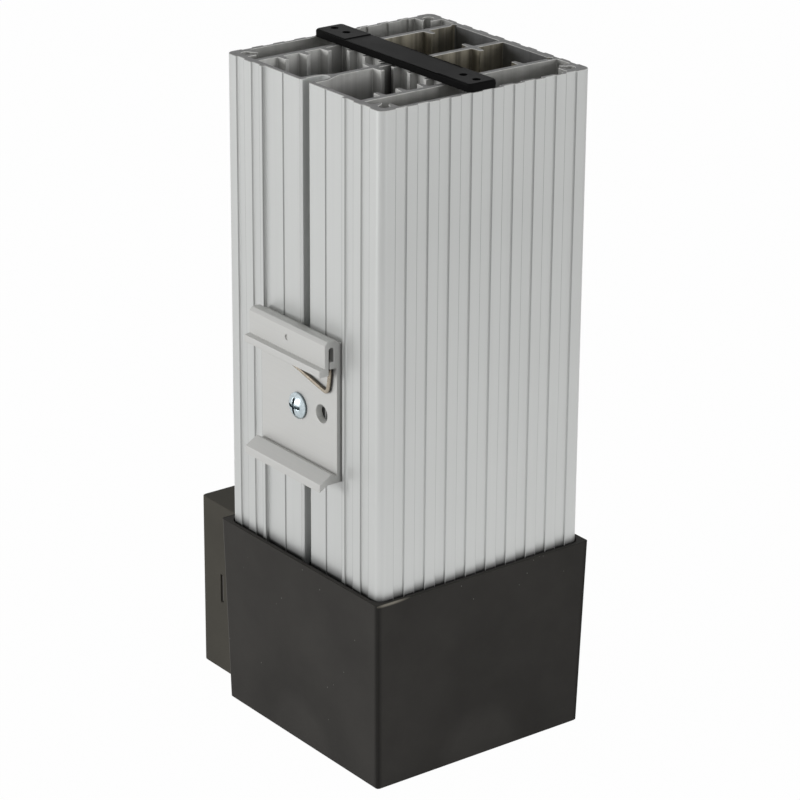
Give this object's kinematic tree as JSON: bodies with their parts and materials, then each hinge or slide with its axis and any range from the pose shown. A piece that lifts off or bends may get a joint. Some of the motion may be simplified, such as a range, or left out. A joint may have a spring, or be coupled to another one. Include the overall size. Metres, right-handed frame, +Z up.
{
  "type": "enclosure fan heater",
  "caption": "Compact cabinet fan heater: fluted square aluminium heat exchanger in a moulded base with fan and terminal box, with a rail clip on one side.",
  "frame": {"origin": "centre of the base's underside", "axes": "+Z up along the air flow, -Y towards the rail clip, -X towards the terminal box"},
  "size_m": [0.1106, 0.0895, 0.222],
  "materials": {
    "profile_aluminium": "satin anodised",
    "clip_aluminium": "matte anodised",
    "cassette_aluminium": "mill",
    "base_plastic": "fine matte grain",
    "black_plastic": "satin",
    "fan_plastic": "satin",
    "terminal_plastic": "matte",
    "limiter_plastic": "matte",
    "zinc_steel": "bright zinc plate",
    "bright_steel": "ground",
    "spring_steel": "drawn",
    "magnet": "bonded ferrite",
    "copper": "enamelled wire",
    "tinned_copper": "tinned",
    "circuit_board": "satin",
    "white_silicone": "matte",
    "black_sheath": "matte",
    "earth_sheath": "matte"
  },
  "bodies": {
    "housing": {"heatsink_profile": "profile_aluminium", "top_bar": "black_plastic", "heater_cassette_left": "cassette_aluminium", "heater_cassette_right": "cassette_aluminium", "clamp_plates": "spring_steel", "temperature_limiter": "limiter_plastic", "base_housing": "base_plastic", "terminal_cover": "base_plastic", "terminal_block": "terminal_plastic", "terminal_screws": "zinc_steel", "profile_screws": "zinc_steel", "fan_frame": "fan_plastic", "fan_bearings": "bright_steel", "stator_core": "bright_steel", "stator_coils": "copper", "fan_circuit_board": "circuit_board", "fan_screws": "zinc_steel", "heater_leads": "white_silicone", "fan_lead": "black_sheath", "earth_lead": "earth_sheath", "earth_lug": "tinned_copper", "earth_screw": "zinc_steel", "din_clip": "clip_aluminium", "clip_spring": "spring_steel", "clip_screw": "zinc_steel"},
    "fan_rotor": {"fan_impeller": "fan_plastic", "fan_shaft": "bright_steel", "shaft_clip": "spring_steel", "rotor_yoke": "bright_steel", "rotor_magnet": "magnet"}
  },
  "joints": [
    {"name": "fan_spin", "type": "hinge", "parent": "housing", "child": "fan_rotor", "pos_m": [0, 0, 0.016], "axis": [0, 0, 1], "continuous": true}
  ]
}
